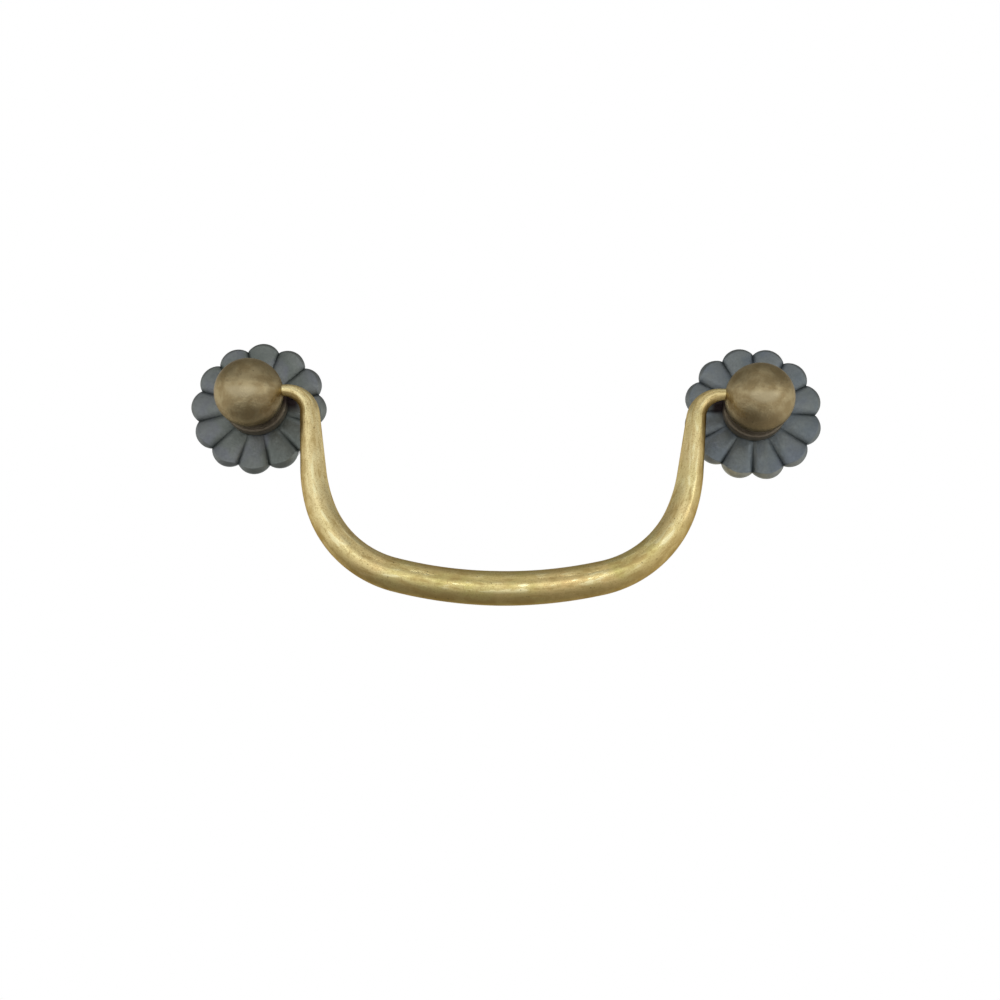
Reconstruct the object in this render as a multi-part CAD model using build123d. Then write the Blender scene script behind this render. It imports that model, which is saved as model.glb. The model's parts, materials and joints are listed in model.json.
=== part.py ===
from build123d import *
import os
from math import cos, radians, sin, sqrt, tan

# Drop handle for a drawer: a swan-necked bail hung between two ball-headed posts,
# each post standing on a twelve-petal rosette and bolted through the drawer front.
# X runs along the handle, Y runs into the drawer front and Z is up.
# The origin lies midway between the posts, on the face of the drawer front.

# Driving dimensions, in millimetres and degrees.
post_spacing = 96.0
panel_thickness = 18.0

rosette_diameter = 26.6
petal_count = 12
petal_end_radius = 3.5
petal_rim_height = 0.8
petal_bevel_angle = 50.0
petal_root_height = 1.45
petal_tip_height = 1.05
petal_crown = 0.6
groove_outer_floor = 0.5
groove_inner_floor = 1.5
groove_half_angle = 24.0
seat_diameter = 12.0
seat_height = 2.2
left_rosette_turn = -1.0
right_rosette_turn = 13.5

ball_diameter = 13.0
neck_diameter = 8.8
neck_length = 0.65
collar_diameter = 12.2
collar_height = 2.2
collar_chamfer = 0.4
spigot_diameter = 5.7
spigot_setback = 0.05
shank_diameter = 4.8
shank_setback = 1.0
thread_diameter = 4.0
thread_projection = 1.8
thread_chamfer = 0.4

washer_diameter = 12.0
washer_thickness = 1.0
nut_sides = 6
nut_across_flats = 7.0
nut_height = 3.2
nut_corner_angle = 30.0

pin_diameter = 2.2
pin_engagement = 4.5
bore_rise = 0.5
bail_drop = 37.4
grip_diameter = 6.3
grip_end_diameter = 6.15
corner_top_diameter = 5.3
leg_diameter = 4.8
leg_top_diameter = 3.7
grip_end_angle = 13.5
corner_top_angle = 69.5
leg_angle = 83.5
corner_radius = 20.4
leg_bow_radius = 30.0
neck_bend_radius = 5.0

# Clearances.
pin_clearance = 0.05
bore_end_clearance = 0.5
bail_side_clearance = 0.4
rosette_hole_clearance = 0.1
washer_clearance = 0.2
nut_clearance = 0.05

# Places that follow from the sizes above.
post_x = post_spacing / 2
ball_radius = ball_diameter / 2
collar_front = -(seat_height + collar_height)
neck_front = collar_front - neck_length
ball_y = neck_front - sqrt(ball_radius**2 - (neck_diameter / 2) ** 2)
bore_depth_at_axis = sqrt(ball_radius**2 - bore_rise**2)
neck_end_x = post_x - bore_depth_at_axis - bail_side_clearance
washer_back = panel_thickness + washer_thickness
nut_back = washer_back + nut_height
face_forward = Rot(X=90)


def across(radius):
    """The plane that cuts a petal across at this distance from the rosette's centre."""
    return Plane(origin=(radius, 0, 0), x_dir=(0, 1, 0), z_dir=(1, 0, 0))


def crowned_section(radius, shoulder):
    """A petal cut across: flat back, straight sides and a crowned top."""
    side = petal_end_radius
    sides = Polyline((-side, shoulder), (-side, 0), (side, 0), (side, shoulder))
    crown = ThreePointArc((side, shoulder), (0, shoulder + petal_crown), (-side, shoulder))
    return across(radius) * make_face(sides + crown)


def petal():
    """One petal along +X, back down on Z = 0, trimmed to its own share of the circle."""
    tip = rosette_diameter / 2
    end_centre = tip - petal_end_radius
    root = crowned_section(0, petal_root_height)
    blade = loft([root, crowned_section(tip, petal_tip_height)], ruled=True)
    side, rim = petal_end_radius, petal_rim_height
    apex = rim + side * tan(radians(petal_bevel_angle))
    end_profile = Polyline((0, 0), (side, 0), (side, rim), (0, apex), (0, 0))
    bevelled_end = revolve(Plane.XZ * make_face(end_profile), Axis.Z)
    inner_part = Box(end_centre, 2 * side, apex, align=(Align.MIN, Align.CENTER, Align.MIN))
    spread = rosette_diameter * tan(radians(180 / petal_count))
    share = Polygon((0, 0), (rosette_diameter, -spread), (rosette_diameter, spread), align=None)
    return blade & (inner_part + Pos(X=end_centre) * bevelled_end) & extrude(share, apex)


def groove():
    """The V chased between two petals, along +X: it grows wider and deeper outwards."""
    top = seat_height + petal_crown
    ends = []
    for radius, floor in ((0, groove_inner_floor), (rosette_diameter / 2, groove_outer_floor)):
        half_width = (top - floor) * tan(radians(groove_half_angle))
        vee = Polygon((0, floor), (half_width, top), (-half_width, top), align=None)
        ends.append(across(radius) * vee)
    return loft(ends, ruled=True)


def rosette(turn):
    """A cast rosette: a ring of petals round a flat seat, with a hole for the post's spigot."""
    pitch = 360 / petal_count
    first_petal, first_groove = petal(), groove()
    petals = [Rot(Z=turn + pitch * k) * first_petal for k in range(petal_count)]
    grooves = [Rot(Z=turn + pitch * (k + 0.5)) * first_groove for k in range(petal_count)]
    ring = petals[0].fuse(*petals[1:]).cut(*grooves)
    seat = Cylinder(seat_diameter / 2, seat_height, align=(Align.CENTER, Align.CENTER, Align.MIN))
    hole = Cylinder(spigot_diameter / 2 + rosette_hole_clearance, 2 * seat_height)
    return face_forward * (ring + seat - hole)


def post():
    """A turned post, bored on its -X side for a pin.

    From the front: ball, neck, collar, the spigot that centres the rosette, shank and threaded end.
    """
    neck = neck_diameter / 2
    collar = collar_diameter / 2
    spigot = spigot_diameter / 2
    shank = shank_diameter / 2
    shank_end = panel_thickness - shank_setback
    thread = thread_diameter / 2
    thread_end = nut_back + thread_projection
    pole = ball_y - ball_radius
    head = ThreePointArc((0, pole), (ball_radius, ball_y), (neck, neck_front))
    foot = Polyline(
        (neck, neck_front),
        (neck, collar_front),
        (collar - collar_chamfer, collar_front),
        (collar, collar_front + collar_chamfer),
        (collar, -seat_height),
        (spigot, -seat_height),
        (spigot, -spigot_setback),
        (shank, -spigot_setback),
        (shank, shank_end),
        (thread, shank_end),
        (thread, thread_end - thread_chamfer),
        (thread - thread_chamfer, thread_end),
        (0, thread_end),
        (0, pole),
    )
    turned = revolve(make_face(head + foot), Axis.Y)
    bore_length = bail_side_clearance + pin_engagement + bore_end_clearance
    along_x = (Align.CENTER, Align.CENTER, Align.MIN)
    bore = Rot(Y=90) * Cylinder(pin_diameter / 2 + pin_clearance, bore_length, align=along_x)
    return turned - Pos(neck_end_x - post_x, ball_y, bore_rise) * bore


def centreline():
    """Half of the bail's centreline, from the middle of the grip up to the end of the neck bend.

    The grip and corner bow one way and the neck bends back, all in tangent arcs. The grip's
    radius and the leg's straight length are what make the ends meet the pin's place.
    """
    a, b, c = radians(grip_end_angle), radians(corner_top_angle), radians(leg_angle)
    corner_run, corner_rise = corner_radius * (sin(b) - sin(a)), corner_radius * (cos(a) - cos(b))
    bow_run, bow_rise = leg_bow_radius * (sin(c) - sin(b)), leg_bow_radius * (cos(b) - cos(c))
    neck_run, neck_rise = neck_bend_radius * sin(c), neck_bend_radius * (1 - cos(c))
    run = neck_end_x - corner_run - bow_run - neck_run
    rise = bail_drop - corner_rise - bow_rise - neck_rise
    scale = sin(a) * sin(c) - cos(c) * (1 - cos(a))
    grip_radius = (run * sin(c) - rise * cos(c)) / scale
    leg_length = (rise * sin(a) - run * (1 - cos(a))) / scale
    grip = JernArc((0, bore_rise - bail_drop), (1, 0), grip_radius, grip_end_angle)
    corner = JernArc(grip @ 1, grip % 1, corner_radius, corner_top_angle - grip_end_angle)
    bow = JernArc(corner @ 1, corner % 1, leg_bow_radius, leg_angle - corner_top_angle)
    leg = Line(bow @ 1, bow @ 1 + leg_length * (bow % 1))
    neck = JernArc(leg @ 1, leg % 1, neck_bend_radius, -leg_angle)
    return [
        (grip, grip_diameter, grip_end_diameter, 2),
        (corner, grip_end_diameter, corner_top_diameter, 5),
        (bow, corner_top_diameter, leg_diameter, 2),
        (leg, leg_diameter, leg_top_diameter, 1),
        (neck, leg_top_diameter, pin_diameter, 5),
    ]


def bail():
    """The bail: one round bar, thick in the grip and drawn down to a pin at each end."""
    spans = []
    for curve, start, end, steps in centreline():
        sections = []
        for k in range(steps + 1):
            point, heading = curve @ (k / steps), curve % (k / steps)
            middle = (point.X, ball_y, point.Y)
            cut = Plane(origin=middle, x_dir=(0, 1, 0), z_dir=(heading.X, 0, heading.Y))
            sections.append(cut * Circle((start + (end - start) * k / steps) / 2))
        spans.append(loft(sections))
    pin_length = bail_side_clearance + pin_engagement
    along_x = (Align.CENTER, Align.CENTER, Align.MIN)
    pin = Rot(Y=90) * Cylinder(pin_diameter / 2, pin_length, align=along_x)
    half = spans[0].fuse(*spans[1:], Pos(neck_end_x, ball_y, bore_rise) * pin)
    return half + mirror(half, Plane.YZ)


def washer():
    """A flat washer against the back of the drawer front."""
    ring = Circle(washer_diameter / 2) - Circle(thread_diameter / 2 + washer_clearance)
    return face_forward * Pos(Z=-washer_back) * extrude(ring, washer_thickness)


def nut():
    """A hexagon nut, its corners turned off on the outer face."""
    flat = nut_across_flats / 2
    corner = flat / cos(radians(180 / nut_sides))
    hexagon = RegularPolygon(flat, nut_sides, major_radius=False)
    hexagon -= Circle(thread_diameter / 2 + nut_clearance)
    drop = (corner - flat) * tan(radians(nut_corner_angle))
    turned = Polyline((0, 0), (flat, 0), (corner, drop), (corner, nut_height), (0, nut_height), (0, 0))
    blank = revolve(Plane.XZ * make_face(turned), Axis.Z)
    return face_forward * Pos(Z=-nut_back) * (extrude(hexagon, nut_height) & blank)


os.makedirs("parts", exist_ok=True)
export_step(bail(), "parts/bail.step")
right_post = post()
posts = {"left": mirror(right_post, Plane.YZ), "right": right_post}
rosettes = {"left": rosette(left_rosette_turn), "right": rosette(right_rosette_turn)}
for side, x in (("left", -post_x), ("right", post_x)):
    place = Pos(X=x)
    export_step(place * posts[side], f"parts/post_{side}.step")
    export_step(place * rosettes[side], f"parts/rosette_{side}.step")
    export_step(place * washer(), f"parts/washer_{side}.step")
    export_step(place * nut(), f"parts/nut_{side}.step")
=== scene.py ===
import json
from math import asin, atan2, cos, hypot, pi, radians, sin, sqrt, tan
from random import Random

import bmesh
import bpy
from mathutils import Matrix, Vector, noise


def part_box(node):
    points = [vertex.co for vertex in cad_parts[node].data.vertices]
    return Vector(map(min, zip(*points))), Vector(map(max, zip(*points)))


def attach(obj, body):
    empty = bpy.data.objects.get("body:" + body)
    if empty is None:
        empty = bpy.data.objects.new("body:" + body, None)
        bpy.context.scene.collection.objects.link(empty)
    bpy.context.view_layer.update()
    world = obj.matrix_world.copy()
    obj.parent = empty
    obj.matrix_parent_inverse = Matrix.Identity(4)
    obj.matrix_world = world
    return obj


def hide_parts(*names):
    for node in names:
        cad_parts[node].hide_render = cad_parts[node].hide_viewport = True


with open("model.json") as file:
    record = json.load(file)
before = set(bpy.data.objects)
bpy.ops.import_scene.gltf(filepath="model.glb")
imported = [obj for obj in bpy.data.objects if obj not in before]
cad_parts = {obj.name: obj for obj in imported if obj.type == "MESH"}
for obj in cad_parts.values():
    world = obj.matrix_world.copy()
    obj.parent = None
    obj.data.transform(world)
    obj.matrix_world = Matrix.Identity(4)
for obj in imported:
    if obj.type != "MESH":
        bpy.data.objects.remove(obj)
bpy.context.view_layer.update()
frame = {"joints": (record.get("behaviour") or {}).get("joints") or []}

# The two posts: brass turned in one piece, with a ball, a short neck, a collar that sits on
# the rosette, a plain shank through the drawer front and a cut M4 thread. The ball is bored
# on its inner side for the pin, and the brass is browned where it shows, with a painted
# highlight on the ball's front and painted shade above, below, by the pin and on the neck
# and collar, whose side is painted lighter again.
mm = 0.001
hand = {-1: "left", 1: "right"}
fixed = "fixed_parts"
swing = frame["joints"][0]["pos_m"]
post_x = sum(corner.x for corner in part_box("washer_right")) / 2
ball_centre_y = swing[1]
ball_radius = 6.5 * mm
neck_radius = 4.4 * mm
collar_radius = 6.1 * mm
collar_front = -4.4 * mm
collar_round = 0.45 * mm
collar_chamfer = 0.1 * mm
seat_front = -2.2 * mm
spigot_radius = 2.85 * mm
spigot_end = -0.05 * mm
shank_radius = 2.4 * mm
shank_end = 17 * mm
shank_chamfer = 0.4 * mm
thread_start = shank_end - 0.5 * mm
thread_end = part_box("post_right")[1].y
thread_radius = 2.0 * mm
thread_root = 1.6 * mm
thread_pitch = 0.7 * mm
thread_tip = 0.45 * mm
thread_steps = 40
bore_radius = 1.15 * mm
pin_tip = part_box("bail")[1].x
bore_bottom = pin_tip + 0.5 * mm
around, ball_steps, collar_steps, bore_sides = 96, 44, 6, 48
doubles = 0.002 * mm
cut_tolerance = 0.0001 * mm
crease = radians(32)


def line_through(bm, points):
    """An open line through points of (radius, y), as the vertices and edges to spin."""
    line = [bm.verts.new((radius, y, 0)) for radius, y in points]
    return line + [bm.edges.new(pair) for pair in zip(line, line[1:])]


def turned(profile):
    """A closed body spun about the Y axis from a profile of (radius, y) points."""
    bm = bmesh.new()
    bmesh.ops.spin(bm, geom=line_through(bm, profile), cent=(0, 0, 0), axis=(0, 1, 0),
                   angle=2 * pi, steps=around, use_merge=True, use_normal_flip=False,
                   use_duplicate=False)
    bmesh.ops.remove_doubles(bm, verts=bm.verts, dist=doubles)
    bmesh.ops.recalc_face_normals(bm, faces=bm.faces)
    return bm


def arc(centre, radius, start, end, steps):
    """Points of (radius, y) on a circle about centre, from one angle to another."""
    turns = [start + (end - start) * k / steps for k in range(steps + 1)]
    return [(centre[0] + radius * cos(turn), centre[1] + radius * sin(turn)) for turn in turns]


def thread():
    """The thread as a closed rod: an outline wound up the stud, cut to length and coned off.

    The outline is one pitch of it, as (radius, share of the pitch).
    """
    bm = bmesh.new()
    outline = [(thread_root, 0), (thread_root, 0.12), (thread_radius, 0.42),
               (thread_radius, 0.58), (thread_root, 0.88), (thread_root, 1)]
    line = line_through(bm, [(radius, thread_start + thread_pitch * (share - 1.5))
                             for radius, share in outline])
    turns = int((thread_end - thread_start) / thread_pitch) + 3
    bmesh.ops.spin(bm, geom=line, cent=(0, 0, 0), axis=(0, 1, 0), angle=2 * pi * turns,
                   dvec=(0, thread_pitch / thread_steps, 0), steps=thread_steps * turns,
                   use_merge=False, use_normal_flip=False, use_duplicate=False)
    bmesh.ops.remove_doubles(bm, verts=bm.verts, dist=doubles)
    for height, direction in ((thread_start, -1), (thread_end, 1)):
        cut = bmesh.ops.bisect_plane(bm, geom=bm.verts[:] + bm.edges[:] + bm.faces[:],
                                     dist=cut_tolerance, plane_co=(0, height, 0),
                                     plane_no=(0, direction, 0), clear_outer=True)
        rim = [part for part in cut["geom_cut"] if isinstance(part, bmesh.types.BMEdge)]
        bmesh.ops.holes_fill(bm, edges=rim, sides=0)
    for vertex in bm.verts:
        limit = thread_radius - max(0, vertex.co.y - (thread_end - thread_tip))
        radius = hypot(vertex.co.x, vertex.co.z)
        if radius > limit:
            vertex.co.x *= limit / radius
            vertex.co.z *= limit / radius
    bmesh.ops.recalc_face_normals(bm, faces=bm.faces)
    return bm


def body_of(bm, name):
    """The bmesh made into an object."""
    mesh = bpy.data.meshes.new(name)
    bm.to_mesh(mesh)
    bm.free()
    piece = bpy.data.objects.new(name, mesh)
    bpy.context.scene.collection.objects.link(piece)
    return piece


def joined(piece, other, operation):
    """Joins or cuts a piece with another body, which is used up."""
    change = piece.modifiers.new("change", "BOOLEAN")
    change.operation = operation
    change.solver = "EXACT"
    change.object = other
    bpy.context.view_layer.update()
    seen = piece.evaluated_get(bpy.context.evaluated_depsgraph_get())
    mesh = bpy.data.meshes.new_from_object(seen)
    piece.modifiers.remove(change)
    old, piece.data = piece.data, mesh
    bpy.data.meshes.remove(old)
    bpy.data.objects.remove(other)


def node(tree, kind, inputs=(), **settings):
    """A shader node with its settings, and its inputs set or linked."""
    made = tree.nodes.new(kind)
    for name, value in settings.items():
        setattr(made, name, value)
    for name, value in dict(inputs).items():
        if isinstance(value, bpy.types.NodeSocket):
            tree.links.new(value, made.inputs[name])
        else:
            made.inputs[name].default_value = value
    return made


def maths(tree, operation, first, second=0.0):
    """Two values put together, or one worked on."""
    return node(tree, "ShaderNodeMath", {0: first, 1: second}, operation=operation).outputs[0]


def times(tree, first, *others):
    """Values multiplied together. For masks, it is where they all meet."""
    for other in others:
        first = maths(tree, "MULTIPLY", first, other)
    return first


def stretched(tree, value, low, high, out_low=0.0, out_high=1.0):
    """A value's range from low to high stretched to another, smoothly and within its ends."""
    ranges = {"Value": value, "From Min": low, "From Max": high,
              "To Min": out_low, "To Max": out_high}
    return node(tree, "ShaderNodeMapRange", ranges,
                interpolation_type="SMOOTHSTEP").outputs["Result"]


def band(tree, value, *limits):
    """A mask that rises between the first two limits, in mm, and falls between the last two."""
    rise_from, rise_to, fall_from, fall_to = (limit * mm for limit in limits)
    return times(tree, stretched(tree, value, rise_from, rise_to),
                 stretched(tree, value, fall_to, fall_from))


def colour(red, green, blue):
    """An opaque colour."""
    return (red, green, blue, 1.0)


def over(tree, share, below, above):
    """One colour laid over another by a mask."""
    factor, lower, upper, result = 0, 6, 7, 2
    return node(tree, "ShaderNodeMix", {factor: share, lower: below, upper: above},
                data_type="RGBA").outputs[result]


def coated(tree, base, *coats):
    """A base with coats of (mask, colour) laid over it, one after another."""
    for share, tone in coats:
        base = over(tree, share, base, tone)
    return base


def patina_group():
    """Soft blotches, fine grain and small dark specks, as browning leaves them on brass."""
    grains_to_blotch, specks_to_blotch = 7.0, 2.2
    group = bpy.data.node_groups.new("browning", "ShaderNodeTree")
    sockets = group.interface
    sockets.new_socket("Vector", in_out="INPUT", socket_type="NodeSocketVector")
    sockets.new_socket("Blotch Size", in_out="INPUT", socket_type="NodeSocketFloat")
    for name in ("Blotches", "Grain", "Specks"):
        sockets.new_socket(name, in_out="OUTPUT", socket_type="NodeSocketFloat")
    enter = group.nodes.new("NodeGroupInput")
    leave = group.nodes.new("NodeGroupOutput")
    place = enter.outputs["Vector"]
    coarse = maths(group, "DIVIDE", 1.0, enter.outputs["Blotch Size"])
    blotch = node(group, "ShaderNodeTexNoise", {"Vector": place, "Scale": coarse, "Detail": 3.0,
                                                "Roughness": 0.55}).outputs["Fac"]
    fine = times(group, coarse, grains_to_blotch)
    grain = node(group, "ShaderNodeTexNoise", {"Vector": place, "Scale": fine, "Detail": 5.0,
                                               "Roughness": 0.6}).outputs["Fac"]
    middling = times(group, coarse, specks_to_blotch)
    cell = node(group, "ShaderNodeTexVoronoi", {"Vector": place, "Scale": middling})
    few = stretched(group, blotch, 0.56, 0.64)
    dots = stretched(group, cell.outputs["Distance"], 0.2, 0.1)
    group.links.new(stretched(group, blotch, 0.3, 0.7), leave.inputs["Blotches"])
    group.links.new(grain, leave.inputs["Grain"])
    group.links.new(times(group, few, dots), leave.inputs["Specks"])
    return group


browning = patina_group()


def metal(name, edge, blotch_size):
    """A new metal whose rims reflect by edge.

    It comes with its tree, its shader, its Object coordinates, and its blotches, grain and specks.
    """
    material = bpy.data.materials.new(name)
    material.use_nodes = True
    tree = material.node_tree
    shader = tree.nodes["Principled BSDF"]
    shader.inputs["Metallic"].default_value = 1.0
    shader.inputs["Specular Tint"].default_value = edge
    place = tree.nodes.new("ShaderNodeTexCoord").outputs["Object"]
    patina = node(tree, "ShaderNodeGroup", {"Vector": place, "Blotch Size": blotch_size},
                  node_tree=browning)
    return material, tree, shader, place, tuple(patina.outputs)


def finished(tree, shader, tone, roughness, height, depth):
    """Gives a shader its colour and roughness, and a relief by a height, to a depth in metres."""
    bump = node(tree, "ShaderNodeBump", {"Height": height, "Strength": 1.0, "Distance": depth})
    tree.links.new(tone, shader.inputs["Base Color"])
    tree.links.new(roughness, shader.inputs["Roughness"])
    tree.links.new(bump.outputs["Normal"], shader.inputs["Normal"])


def pin_shadow(tree, x, y, z):
    """A mask for the corner under the pin, between the ball, the rosette and the bail's leg."""
    from_post = maths(tree, "SUBTRACT", post_x, maths(tree, "ABSOLUTE", x))
    return times(tree, band(tree, from_post, 3.6, 4.6, 7.2, 9.0),
                 band(tree, z, -1.8, 0.4, 3.2, 4.6), band(tree, y, -5.4, -4.6, -0.3, -0.1))


def brown_brass():
    """Browned brass, bare on the shank, with painted light and shade on the balls and collars."""
    material, tree, shader, place, (blotches, grain, specks) = metal(
        "brown_brass", edge=colour(0.7, 0.65, 0.57), blotch_size=2.4 * mm)
    x, y, z = node(tree, "ShaderNodeSeparateXYZ", {"Vector": place}).outputs
    mottled = stretched(tree, maths(tree, "ADD", blotches, grain), 0.45, 1.55)
    # Painted shade: the upper half of each ball is darker.
    above = stretched(tree, z, -0.8 * mm, 1.4 * mm, 0.0, 0.4)
    # Painted shade: the underside of each ball is darker, more so on the right post.
    below = times(tree, stretched(tree, z, -3.6 * mm, -5.6 * mm),
                  stretched(tree, x, -10 * mm, 10 * mm, 0.55, 0.85))
    # Painted highlight: a lighter patch on the front of each ball, a little below its middle.
    front = stretched(tree, y, ball_centre_y - 5.4 * mm, ball_centre_y - 6.1 * mm, 0.0, 0.6)
    painted_highlight = times(tree, front, band(tree, z, -3.8, -2.6, -1.4, -0.4))
    # Painted shade on the inner, lower side of each ball, towards the pin.
    inward = stretched(tree, maths(tree, "ABSOLUTE", x), post_x, post_x - 5 * mm, 0.0, 0.52)
    pin_side_shade = times(tree, inward, stretched(tree, z, -0.8 * mm, -4.2 * mm))
    # Painted shade on the neck and the collar, from the back of the ball on.
    foot = stretched(tree, y, ball_centre_y + 3.4 * mm, ball_centre_y + 4.8 * mm)
    # Painted light: the collar's side is lighter again.
    collar_side_light = stretched(tree, y, collar_front + 0.3 * mm, collar_front + 0.7 * mm, 0.0, 0.7)
    bare = stretched(tree, y, 0.2 * mm, 1.2 * mm, 0.0, 0.8)
    tone = coated(tree, over(tree, mottled, colour(0.29, 0.22, 0.112), colour(0.41, 0.335, 0.19)),
                  (above, colour(0.2, 0.155, 0.08)),
                  (below, colour(0.19, 0.14, 0.07)),
                  (painted_highlight, colour(0.48, 0.41, 0.26)),
                  (pin_side_shade, colour(0.12, 0.085, 0.045)),
                  (times(tree, foot, 0.8), colour(0.15, 0.132, 0.11)),
                  (collar_side_light, colour(0.27, 0.24, 0.195)),
                  (times(tree, pin_shadow(tree, x, y, z), 0.9), colour(0.02, 0.011, 0.012)),
                  (bare, colour(0.56, 0.45, 0.22)),
                  (times(tree, specks, 0.5), colour(0.09, 0.065, 0.035)))
    roughness = maths(tree, "ADD", stretched(tree, grain, 0.3, 0.7, 0.3, 0.44),
                      times(tree, foot, 0.2))
    relief = maths(tree, "ADD", grain, times(tree, blotches, 1.2))
    finished(tree, shader, tone, roughness, relief, depth=0.07 * mm)
    return material


def piece_of(piece, material, body, replaced):
    """Gives a piece its finish and its place in the frame."""
    piece.data.materials.clear()
    piece.data.materials.append(material)
    piece.data.shade_smooth()
    piece.data.set_sharp_from_angle(angle=crease)
    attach(piece, body)
    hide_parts(replaced)


def post(side):
    """One post. side is 1 for the right one and -1 for the left, whose bores face each other."""
    junction = asin(neck_radius / ball_radius)
    ball = arc((0, ball_centre_y), ball_radius, -pi / 2, pi / 2 - junction, ball_steps)
    corner = (collar_radius - collar_round, collar_front + collar_round)
    collar = arc(corner, collar_round, -pi / 2, 0, collar_steps)
    foot = [(collar_radius, seat_front - collar_chamfer),
            (collar_radius - collar_chamfer, seat_front), (spigot_radius, seat_front),
            (spigot_radius, spigot_end), (shank_radius, spigot_end),
            (shank_radius, shank_end - shank_chamfer),
            (shank_radius - shank_chamfer, shank_end), (0, shank_end)]
    pole, neck = (0, ball_centre_y - ball_radius), (neck_radius, collar_front)
    piece = body_of(turned([pole] + ball[1:] + [neck] + collar + foot),
                    f"post_{hand[side]}_turned")
    joined(piece, body_of(thread(), "stud"), "UNION")
    drill = bmesh.new()
    bmesh.ops.create_cone(drill, cap_ends=True, segments=bore_sides, radius1=bore_radius,
                          radius2=bore_radius, depth=ball_radius)
    bmesh.ops.rotate(drill, verts=drill.verts, cent=(0, 0, 0),
                     matrix=Matrix.Rotation(pi / 2, 3, "Y"))
    middle = side * (bore_bottom - post_x - ball_radius / 2)
    bmesh.ops.translate(drill, verts=drill.verts, vec=(middle, swing[1], swing[2]))
    joined(piece, body_of(drill, "drill"), "DIFFERENCE")
    piece.data.transform(Matrix.Translation((side * post_x, 0, 0)))
    return piece


post_finish = brown_brass()
for side, word in hand.items():
    piece_of(post(side), post_finish, fixed, f"post_{word}")


# The rosettes: two twelve-petal brass castings, coloured blue-grey. Each petal is crowned and
# bevelled at its end, with a V chased between neighbours, and each rosette was turned by
# chance as it was tightened. The right one's lowest petals are rubbed back to brass.
petals = 12
rosette_radius = 13.3 * mm
petal_end = 3.5 * mm
petal_rim = 0.8 * mm
petal_bevel = radians(50)
petal_root_height = 1.45 * mm
petal_tip_height = 1.05 * mm
petal_crown = 0.6 * mm
petal_roll = 0.45 * mm
petal_unevenness = 0.08 * mm
groove_outer_floor = 0.55 * mm
groove_inner_floor = 1.95 * mm
groove_slope = 1.3
groove_shade = 0.7 * mm
bevel_shade = 0.1 * mm
seat_radius = 6.0 * mm
seat_round = 0.15 * mm
seat_round_middle = 0.3 * seat_round
rosette_hole = 2.95 * mm
edge_round = 0.16 * mm
shoulder_round = 0.32 * mm
bevel_round = 0.1 * mm
back_edge = 0.1 * mm
rosette_turns = {-1: radians(-1.0), 1: radians(13.5)}
rows_out, rows_across = 44, 30
rows_gather = 1.7
petal_seed = 11
petal_doubles = 0.004 * mm


def within(share):
    """A share kept between 0 and 1."""
    return max(0.0, min(1.0, share))


def softer_least(first, second, width):
    """The lesser of two heights, with the corner where they cross rounded over."""
    share = within(0.5 + 0.5 * (second - first) / width)
    return second + (first - second) * share - width * share * (1 - share)


def petal_outline(turn):
    """How far the petal reaches from the rosette's centre at an angle from its own axis."""
    centre = rosette_radius - petal_end
    return centre * cos(turn) + sqrt(petal_end**2 - (centre * sin(turn))**2)


def petal_surface(reach, turn, sunk):
    """A petal's height there, with how much of it is bevel and how much painted groove shade it
    takes.
    """
    along, across = reach * cos(turn), reach * sin(turn)
    outward = reach / rosette_radius
    half = pi / petals
    side = min(1.0, abs(turn) / half)
    shoulder = petal_root_height + (petal_tip_height - petal_root_height) * along / rosette_radius
    face = shoulder + petal_crown * (1 - (across / petal_end)**2) - petal_roll * outward * side**3
    face -= sunk * (1 - side**2)
    gap = reach * sin(half - abs(turn))
    floor = groove_inner_floor + (groove_outer_floor - groove_inner_floor) * outward
    flank = floor + gap * groove_slope * outward
    centre = rosette_radius - petal_end
    height, bevelled, edge = face, 0.0, 0.0
    if along > centre:
        from_end = petal_end - hypot(along - centre, across)
        bevel = petal_rim + from_end * tan(petal_bevel)
        height = softer_least(face, bevel, bevel_round)
        bevelled = within((face - bevel) / bevel_shade)
        if from_end < edge_round:
            edge = edge_round - sqrt(edge_round**2 - (edge_round - max(from_end, 0))**2)
    height = softer_least(height, flank, shoulder_round) - edge
    # The groove's painted shade, wider and darker towards the rim.
    depth = outward**2
    groove_shaded = depth * max(0.0, 1 - gap / (groove_shade * depth))
    return height, bevelled, groove_shaded


def next_ring(bm, edges):
    """A closed rim of edges extruded once: the new rim's points and its edges."""
    made = bmesh.ops.extrude_edge_only(bm, edges=edges)["geom"]
    ring = [part for part in made if isinstance(part, bmesh.types.BMVert)]
    fresh = set(ring)
    return ring, [part for part in made if isinstance(part, bmesh.types.BMEdge)
                  and fresh.issuperset(part.verts)]


def drawn(bm, edges, places):
    """A rim drawn on through places of (radius, height). No radius keeps the rim's own."""
    for radius, height in places:
        ring, edges = next_ring(bm, edges)
        for vertex in ring:
            if radius is not None:
                share = radius / hypot(vertex.co.x, vertex.co.z)
                vertex.co.x *= share
                vertex.co.z *= share
            vertex.co.y = -height
    return edges


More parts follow.
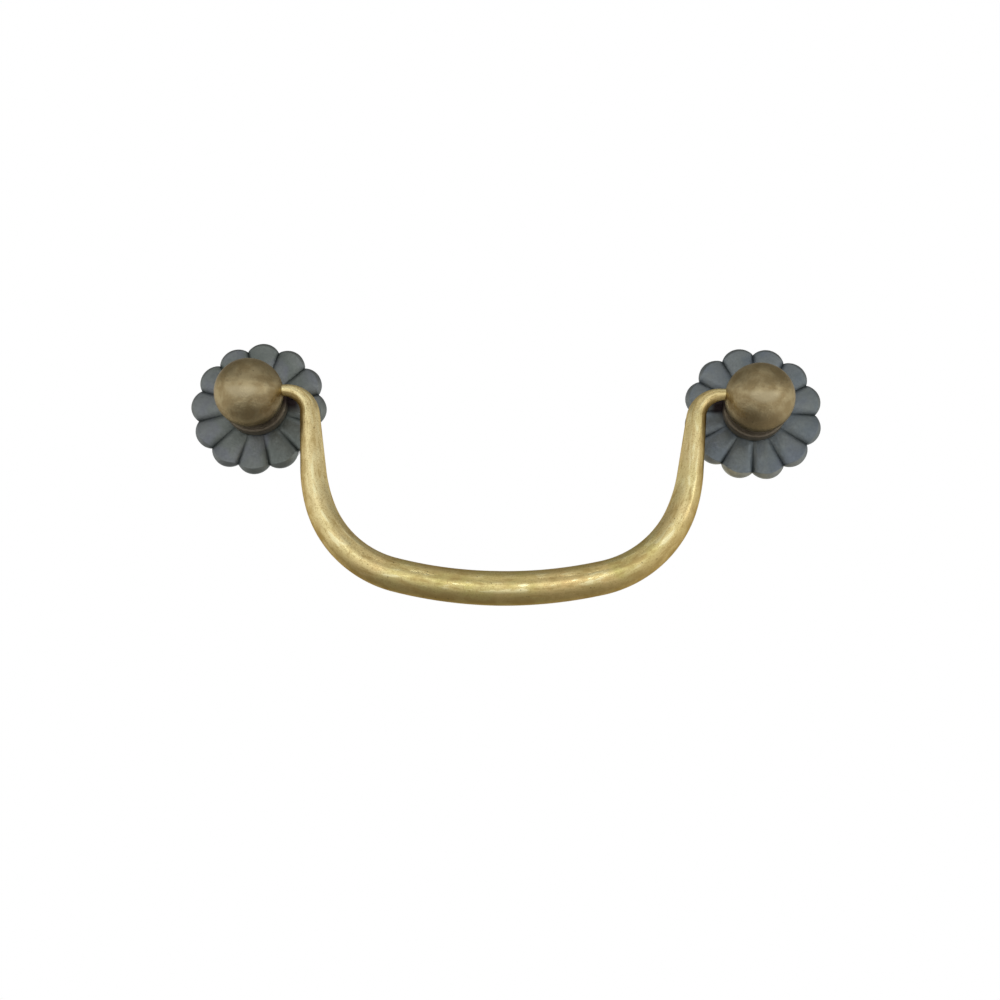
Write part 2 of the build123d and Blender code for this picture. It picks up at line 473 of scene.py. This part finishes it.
def rosette(side):
    """One rosette, its petals laid out about its own centre and its back on the drawer front."""
    bm = bmesh.new()
    bevel_mark = bm.verts.layers.float.new("bevel")
    groove_shade_mark = bm.verts.layers.float.new("painted_groove_shade")
    chance = Random(petal_seed + side)
    pitch = 2 * pi / petals
    for k in range(petals):
        sunk = petal_unevenness * chance.random()
        start = set(bm.verts)
        bmesh.ops.create_grid(bm, x_segments=rows_out, y_segments=rows_across, size=1.0)
        for vertex in [v for v in bm.verts if v not in start]:
            out = 1 - (1 - (vertex.co.x + 1) / 2)**rows_gather
            turn = sin(vertex.co.y * pi / 2) * pitch / 2
            reach = seat_radius + (petal_outline(turn) - seat_radius) * out
            height, vertex[bevel_mark], vertex[groove_shade_mark] = petal_surface(reach, turn, sunk)
            angle = turn + pitch * k + rosette_turns[side]
            vertex.co = (reach * cos(angle), -height, reach * sin(angle))
    bmesh.ops.remove_doubles(bm, verts=bm.verts, dist=petal_doubles)
    rims = [edge for edge in bm.edges if edge.is_boundary]
    by_the_seat = seat_radius + 0.01 * mm
    inner = [e for e in rims if all(hypot(v.co.x, v.co.z) < by_the_seat for v in e.verts)]
    outer = [e for e in rims if e not in inner]
    inner = drawn(bm, inner, [(seat_radius, -seat_front - seat_round),
                              (seat_radius - seat_round_middle, -seat_front - seat_round_middle),
                              (seat_radius - seat_round, -seat_front),
                              (rosette_hole, -seat_front), (rosette_hole, 0)])
    outer = drawn(bm, outer, [(None, back_edge), (None, 0)])
    bmesh.ops.triangle_fill(bm, use_beauty=True, edges=inner + outer, normal=(0, 1, 0))
    for vertex in bm.verts:
        if vertex.co.y > -back_edge / 2:
            vertex[bevel_mark] = vertex[groove_shade_mark] = 0.0
    bmesh.ops.recalc_face_normals(bm, faces=bm.faces)
    bmesh.ops.translate(bm, verts=bm.verts, vec=(side * post_x, 0, 0))
    return body_of(bm, f"rosette_{hand[side]}_cast")


def clouds(tree, place, per_metre):
    """Broad soft noise, with so many clouds to the metre."""
    return node(tree, "ShaderNodeTexNoise", {"Vector": place, "Scale": per_metre, "Detail": 2.0,
                                             "Roughness": 0.5}).outputs["Fac"]


def blue_grey():
    """Blue-grey chemical colour over brass: painted shade in the grooves, brassy where it is
    rubbed.
    """
    material, tree, shader, place, (blotches, grain, _) = metal(
        "blue_grey_patina", edge=colour(0.6, 0.6, 0.6), blotch_size=3.2 * mm)
    x, y, z = node(tree, "ShaderNodeSeparateXYZ", {"Vector": place}).outputs
    bevel = node(tree, "ShaderNodeAttribute", attribute_name="bevel").outputs["Fac"]
    painted_groove_shade = node(tree, "ShaderNodeAttribute", attribute_name="painted_groove_shade").outputs["Fac"]
    bluer = stretched(tree, clouds(tree, place, 160.0), 0.4, 0.6)
    right = stretched(tree, x, 0.0, 10 * mm)
    low = stretched(tree, z, -7.5 * mm, -11.5 * mm)
    patchy = times(tree, stretched(tree, blotches, 0.1, 0.9, 0.3, 0.7),
                   stretched(tree, x, post_x + 1 * mm, post_x - 2 * mm, 0.5, 1.0))
    tone = coated(tree, over(tree, bluer, colour(0.152, 0.17, 0.158), colour(0.168, 0.18, 0.196)),
                  (times(tree, right, 0.6), colour(0.15, 0.178, 0.208)),
                  (times(tree, blotches, 0.6), colour(0.208, 0.224, 0.21)),
                  (times(tree, bevel, 0.5), colour(0.22, 0.23, 0.21)),
                  # Painted shade along the grooves between the petals.
                  (times(tree, painted_groove_shade, 0.75), colour(0.05, 0.06, 0.06)),
                  (times(tree, pin_shadow(tree, x, y, z), 0.95), colour(0.02, 0.011, 0.012)),
                  (times(tree, low, right, bevel, patchy), colour(0.6, 0.55, 0.38)))
    roughness = stretched(tree, grain, 0.3, 0.7, 0.42, 0.56)
    relief = maths(tree, "ADD", grain, blotches)
    finished(tree, shader, tone, roughness, relief, depth=0.045 * mm)
    return material


rosette_finish = blue_grey()
for side, word in hand.items():
    piece_of(rosette(side), rosette_finish, fixed, f"rosette_{word}")


# The bail: one brass bar, drawn thinner from the grip up each leg and bent twice, so that its
# necks turn outwards into the balls, where it ends in two plain pins. Its colour is a light
# satin brass, rubbed by hands in front and left browner behind, with painted shade below and
# above and painted light on the legs and the left side.
swinging = "swinging_bail"
pin_radius = 1.1 * mm
pin_chamfer = 0.25 * mm
bail_play = 0.4 * mm
neck_end = post_x - sqrt(ball_radius**2 - swing[2]**2) - bail_play
grip_turn, corner_turn, leg_turn = radians(13.5), radians(69.5), radians(83.5)
corner_bend, bow_bend, neck_bend = 20.4 * mm, 30.0 * mm, 5.0 * mm
grip_mid, grip_side = 3.15 * mm, 3.075 * mm
corner_top, leg_low, leg_top = 2.65 * mm, 2.4 * mm, 1.85 * mm
bail_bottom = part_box("bail")[0].z + grip_mid
bar_sides = 48
waver, waver_length, waver_fade = 0.04 * mm, 5 * mm, 3 * mm


def bail_spans():
    """Half of the bail as spans from the middle of the grip, each straight or one tangent arc.

    A span is its bend radius, or its length where it is straight, with its turn, the bar's
    radius at its end, and its steps.
    """
    a, b, c = grip_turn, corner_turn, leg_turn
    run = neck_end - corner_bend * (sin(b) - sin(a)) - bow_bend * (sin(c) - sin(b))
    run -= neck_bend * sin(c)
    rise = swing[2] - bail_bottom - corner_bend * (cos(a) - cos(b)) - bow_bend * (cos(b) - cos(c))
    rise -= neck_bend * (1 - cos(c))
    scale = sin(a) * sin(c) - cos(c) * (1 - cos(a))
    grip_bend = (run * sin(c) - rise * cos(c)) / scale
    leg = (rise * sin(a) - run * (1 - cos(a))) / scale
    return [(grip_bend, a, grip_side, 14), (corner_bend, b - a, corner_top, 26),
            (bow_bend, c - b, leg_low, 8), (leg, 0, leg_top, 10), (neck_bend, -c, pin_radius, 30),
            (pin_tip - neck_end - pin_chamfer, 0, pin_radius, 3),
            (pin_chamfer, 0, pin_radius - pin_chamfer, 1)]


def bail():
    """The bail's mesh: a ring walked along half of its line and mirrored."""
    bm = bmesh.new()
    lay = bm.verts.layers.float_vector.new("lay")
    bmesh.ops.create_circle(bm, cap_ends=False, segments=bar_sides, radius=grip_mid)
    bmesh.ops.rotate(bm, verts=bm.verts, cent=(0, 0, 0), matrix=Matrix.Rotation(pi / 2, 3, "Y"))
    place, heading, travelled = Vector((0, swing[1], bail_bottom)), 0.0, 0.0
    bmesh.ops.translate(bm, verts=bm.verts, vec=place)
    ring, edges, size = bm.verts[:], bm.edges[:], grip_mid

    def mark():
        """Notes each point's place along the bar, and about it as if the bar never thinned."""
        across = Vector((-sin(heading), 0, cos(heading)))
        for vertex in ring:
            arm = (vertex.co - place) * grip_mid / size
            vertex[lay] = (travelled, arm.y, arm.dot(across))

    mark()
    for bend, turn, end_size, steps in bail_spans():
        start_size = size
        for k in range(steps):
            ring, edges = next_ring(bm, edges)
            if turn:
                side = Vector((-sin(heading), 0, cos(heading))) * (bend if turn > 0 else -bend)
                centre = place + side
                step = Matrix.Rotation(-turn / steps, 3, "Y")
                bmesh.ops.rotate(bm, verts=ring, cent=centre, matrix=step)
                place = centre + step @ (place - centre)
                heading += turn / steps
                travelled += bend * abs(turn) / steps
            else:
                move = Vector((cos(heading), 0, sin(heading))) * bend / steps
                bmesh.ops.translate(bm, verts=ring, vec=move)
                place = place + move
                travelled += bend / steps
            new_size = start_size + (end_size - start_size) * (k + 1) / steps
            bmesh.ops.scale(bm, verts=ring, vec=(new_size / size,) * 3,
                            space=Matrix.Translation(-place))
            size = new_size
            mark()
    bmesh.ops.holes_fill(bm, edges=edges, sides=0)
    for vertex in bm.verts:
        backward = vertex[lay].y
        wave = 0.5 + 0.5 * noise.noise(vertex[lay] / waver_length)
        fade = within((neck_end - abs(vertex.co.x)) / waver_fade)
        vertex.co.y -= backward / grip_mid * waver * wave * fade
    bmesh.ops.mirror(bm, geom=bm.verts[:] + bm.edges[:] + bm.faces[:], matrix=Matrix.Identity(4),
                     merge_dist=doubles, axis="X")
    bmesh.ops.recalc_face_normals(bm, faces=bm.faces)
    return body_of(bm, "bail_bent")


def satin_brass():
    """Light satin brass: drawn lines along it, browner behind, with painted shade below and above,
    and painted light that makes the legs and the left side paler.
    """
    material, tree, shader, place, (blotches, grain, specks) = metal(
        "satin_brass", edge=colour(0.6, 0.52, 0.4), blotch_size=2.0 * mm)
    x = node(tree, "ShaderNodeSeparateXYZ", {"Vector": place}).outputs["X"]
    lay = node(tree, "ShaderNodeAttribute", attribute_name="lay").outputs["Vector"]
    along, backward, inward = node(tree, "ShaderNodeSeparateXYZ", {"Vector": lay}).outputs
    lines_per_metre, change_per_metre = (280.0, 1100.0, 1100.0), 60.0
    laid = node(tree, "ShaderNodeMapping", {"Vector": lay, "Scale": lines_per_metre})
    lines = node(tree, "ShaderNodeTexNoise", {"Vector": laid.outputs["Vector"],
                                              "W": times(tree, x, change_per_metre), "Scale": 1.0,
                                              "Detail": 3.0, "Roughness": 0.55},
                 noise_dimensions="4D").outputs["Fac"]
    # Browner behind, where hands don't rub it, and browner below and above as painted shade.
    behind = stretched(tree, backward, -2.0 * mm, 1.5 * mm)
    below = stretched(tree, inward, 0.0, -3.0 * mm)
    above = stretched(tree, inward, -0.4 * mm, 1.0 * mm, 0.0, 0.4)
    unrubbed_and_shaded = maths(tree, "MAXIMUM", maths(tree, "MAXIMUM", behind, below), above)
    browner_and_shaded = times(tree, unrubbed_and_shaded, stretched(tree, blotches, 0.0, 1.0, 0.65, 1.0))
    warmer = stretched(tree, clouds(tree, place, 150.0), 0.35, 0.65)
    # Painted light: the legs and the left side are paler.
    leg = stretched(tree, along, 24 * mm, 42 * mm, 0.0, 0.5)
    left = stretched(tree, x, -8 * mm, -32 * mm, 0.0, 0.4)
    dull_lines = stretched(tree, lines, 0.48, 0.32, 0.0, 0.7)
    freckles = stretched(tree, grain, 0.5, 0.36, 0.0, 0.55)
    rubbed = times(tree, stretched(tree, lines, 0.53, 0.64, 0.0, 0.85),
                   stretched(tree, unrubbed_and_shaded, 0.6, 0.1))
    tone = coated(tree, over(tree, warmer, colour(0.61, 0.54, 0.205), colour(0.71, 0.53, 0.235)),
                  (times(tree, blotches, 0.7), colour(0.77, 0.67, 0.32)),
                  (maths(tree, "ADD", leg, left), colour(0.92, 0.78, 0.42)),
                  (browner_and_shaded, colour(0.43, 0.3, 0.105)),
                  (dull_lines, colour(0.44, 0.31, 0.11)),
                  (freckles, colour(0.4, 0.28, 0.1)),
                  (rubbed, colour(0.9, 0.82, 0.48)),
                  (times(tree, specks, 0.75), colour(0.16, 0.105, 0.045)))
    roughness = maths(tree, "ADD", stretched(tree, lines, 0.36, 0.64, 0.36, 0.21),
                      times(tree, unrubbed_and_shaded, 0.14))
    relief = maths(tree, "ADD", lines, times(tree, grain, 0.3))
    finished(tree, shader, tone, roughness, relief, depth=0.05 * mm)
    return material


piece_of(bail(), satin_brass(), swinging, "bail")


# The fixing behind the drawer front: a stamped flat washer and an M4 hexagon nut on each
# stud, in zinc-plated steel. The washer's edges are rolled, and the nut is cut from bar with
# the corners of both faces turned off.
washer_front, washer_back = (corner.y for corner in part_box("washer_right"))
washer_radius = 6.0 * mm
washer_hole = 2.2 * mm
washer_round = 0.15 * mm
nut_front, nut_back = (corner.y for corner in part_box("nut_right"))
nut_half_flat = 3.5 * mm
nut_face = 3.4 * mm
nut_hole = 2.05 * mm
nut_countersink = 0.3 * mm
nut_chamfer = radians(30)
nut_sides = 6


def washer(side):
    """One washer, with rolled edges."""
    middle = (washer_front + washer_back) / 2
    front, back = washer_front + washer_round, washer_back - washer_round
    inner, outer = washer_hole + washer_round, washer_radius - washer_round
    bm = turned([(washer_hole, middle), (washer_hole, front), (inner, washer_front),
                 (outer, washer_front), (washer_radius, front), (washer_radius, back),
                 (outer, washer_back), (inner, washer_back), (washer_hole, back),
                 (washer_hole, middle)])
    bmesh.ops.translate(bm, verts=bm.verts, vec=(side * post_x, 0, 0))
    return body_of(bm, f"washer_{hand[side]}_flat")


def nut(side):
    """One hexagon nut: rings about the stud, drawn out to the flats."""
    bm = bmesh.new()
    bmesh.ops.create_circle(bm, cap_ends=False, segments=around, radius=nut_hole)
    bmesh.ops.rotate(bm, verts=bm.verts, cent=(0, 0, 0), matrix=Matrix.Rotation(pi / 2, 3, "X"))
    bmesh.ops.translate(bm, verts=bm.verts, vec=(0, nut_front + nut_countersink, 0))
    first = edges = bm.edges[:]
    rings = [(nut_hole + nut_countersink, nut_front), (nut_face, nut_front), ("hex", "front"),
             ("hex", "back"), (nut_face, nut_back), (nut_hole + nut_countersink, nut_back),
             (nut_hole, nut_back - nut_countersink)]
    for radius, y in rings:
        ring, edges = next_ring(bm, edges)
        for vertex in ring:
            turn = atan2(vertex.co.z, vertex.co.x)
            from_flat = turn % (2 * pi / nut_sides) - pi / nut_sides
            reach = nut_half_flat / cos(from_flat) if radius == "hex" else radius
            drop = (reach - nut_face) * tan(nut_chamfer)
            height = {"front": nut_front + drop, "back": nut_back - drop}.get(y, y)
            vertex.co = (reach * cos(turn), height, reach * sin(turn))
    bmesh.ops.bridge_loops(bm, edges=first + edges)
    bmesh.ops.recalc_face_normals(bm, faces=bm.faces)
    bmesh.ops.translate(bm, verts=bm.verts, vec=(side * post_x, 0, 0))
    return body_of(bm, f"nut_{hand[side]}_hexagon")


def zinc():
    """Plain zinc plate: cool grey with a cloudy bloom and a fine grain."""
    material, tree, shader, _, (blotches, grain, _) = metal(
        "zinc_plate", edge=colour(1, 1, 1), blotch_size=1.6 * mm)
    tone = over(tree, blotches, colour(0.5, 0.51, 0.52), colour(0.62, 0.62, 0.6))
    roughness = stretched(tree, grain, 0.3, 0.7, 0.26, 0.42)
    finished(tree, shader, tone, roughness, grain, depth=0.01 * mm)
    return material


steel_finish = zinc()
for side, word in hand.items():
    piece_of(washer(side), steel_finish, fixed, f"washer_{word}")
    piece_of(nut(side), steel_finish, fixed, f"nut_{word}")


# The studio: a pale round floor below the handle and white all round, with one long soft lamp
# level with the handle in front, a small one above it, a wide one overhead and one at the side.
floor_height = -150 * mm
floor_radius = 430 * mm
floor_sides = 128
fade_middle_x = -60 * mm
fade_start, fade_end = floor_radius * 0.1, floor_radius * 0.75
lamp_aim = Vector((0, 0, -15 * mm))
camera_place = (9.6 * mm, -253.8 * mm, -83.7 * mm)
camera_pan, camera_tilt, camera_roll = radians(2.26), radians(14.54), radians(1.30)
camera_lens, camera_sensor = 49.36, 36.0


def pale_floor():
    """A pale floor whose rim fades into the white round it."""
    material = bpy.data.materials.new("pale_floor")
    material.use_nodes = True
    tree = material.node_tree
    shader = tree.nodes["Principled BSDF"]
    shader.inputs["Base Color"].default_value = colour(0.86, 0.86, 0.85)
    shader.inputs["Roughness"].default_value = 0.8
    place = tree.nodes.new("ShaderNodeTexCoord").outputs["Object"]
    x, y, _ = node(tree, "ShaderNodeSeparateXYZ", {"Vector": place}).outputs
    sideways = maths(tree, "SUBTRACT", x, fade_middle_x)
    reach = maths(tree, "SQRT", maths(tree, "ADD", times(tree, sideways, sideways),
                                      times(tree, y, y)))
    rim = stretched(tree, reach, fade_start, fade_end)
    white = node(tree, "ShaderNodeEmission", {"Color": colour(1, 1, 1), "Strength": 1.0})
    path = tree.nodes.new("ShaderNodeLightPath").outputs
    mirrored = maths(tree, "MAXIMUM", path["Is Glossy Ray"], path["Is Transmission Ray"])
    seen = times(tree, path["Is Camera Ray"], stretched(tree, rim, 0.0, 1.0, 0.5, 1.0))
    faded = maths(tree, "MAXIMUM", seen, times(tree, rim, mirrored))
    mix = node(tree, "ShaderNodeMixShader", {0: faded, 1: shader.outputs["BSDF"],
                                             2: white.outputs["Emission"]})
    tree.links.new(mix.outputs["Shader"], tree.nodes["Material Output"].inputs["Surface"])
    return material


disc = bmesh.new()
bmesh.ops.create_circle(disc, cap_ends=True, segments=floor_sides, radius=floor_radius)
bmesh.ops.translate(disc, verts=disc.verts, vec=(0, 0, floor_height))
floor = body_of(disc, "floor")
floor.data.materials.append(pale_floor())

world = bpy.data.worlds.new("studio")
bpy.context.scene.world = world
world.use_nodes = True
sky = world.node_tree
direction = sky.nodes.new("ShaderNodeTexCoord").outputs["Generated"]
upward = node(sky, "ShaderNodeSeparateXYZ", {"Vector": direction}).outputs["Z"]
room = over(sky, stretched(sky, upward, 0.28, 0.68), colour(1, 1, 1), colour(0.4, 0.4, 0.4))
ray = sky.nodes.new("ShaderNodeLightPath").outputs
shiny = maths(sky, "MAXIMUM", ray["Is Glossy Ray"], ray["Is Transmission Ray"])
lit = over(sky, shiny, colour(0.35, 0.35, 0.35), room)
shown = over(sky, ray["Is Camera Ray"], lit, colour(1, 1, 1))
sky.links.new(shown, sky.nodes["Background"].inputs["Color"])

# Each lamp's name, place, width and height in metres, and power in watts.
lamps = (
    ("front_lamp", (-0.02, -0.62, 0.01), (0.34, 0.06), 0.09),
    ("window_lamp", (-0.03, -0.55, 0.56), (0.09, 0.07), 0.06),
    ("top_lamp", (0.04, -0.30, 0.55), (0.80, 0.40), 0.38),
    ("side_lamp", (0.55, -0.40, 0.02), (0.14, 0.16), 0.12),
)
for name, spot, (width, height), power in lamps:
    lamp = bpy.data.lights.new(name, "AREA")
    lamp.shape = "RECTANGLE"
    lamp.size, lamp.size_y, lamp.energy = width, height, power
    holder = bpy.data.objects.new(name, lamp)
    holder.location = spot
    holder.rotation_euler = (lamp_aim - Vector(spot)).to_track_quat("-Z", "Y").to_euler()
    bpy.context.scene.collection.objects.link(holder)

camera = bpy.data.objects.new("camera", bpy.data.cameras.new("camera"))
camera.data.sensor_width, camera.data.lens = camera_sensor, camera_lens
camera.data.clip_start, camera.data.clip_end = 0.01, 10.0
camera.location = camera_place
camera.rotation_mode = "QUATERNION"
panned = Matrix.Rotation(camera_pan, 3, "Z") @ Matrix.Rotation(pi / 2 + camera_tilt, 3, "X")
camera.rotation_quaternion = (panned @ Matrix.Rotation(camera_roll, 3, "Z")).to_quaternion()
bpy.context.scene.collection.objects.link(camera)
bpy.context.scene.camera = camera
bpy.context.scene.view_settings.view_transform = "Standard"
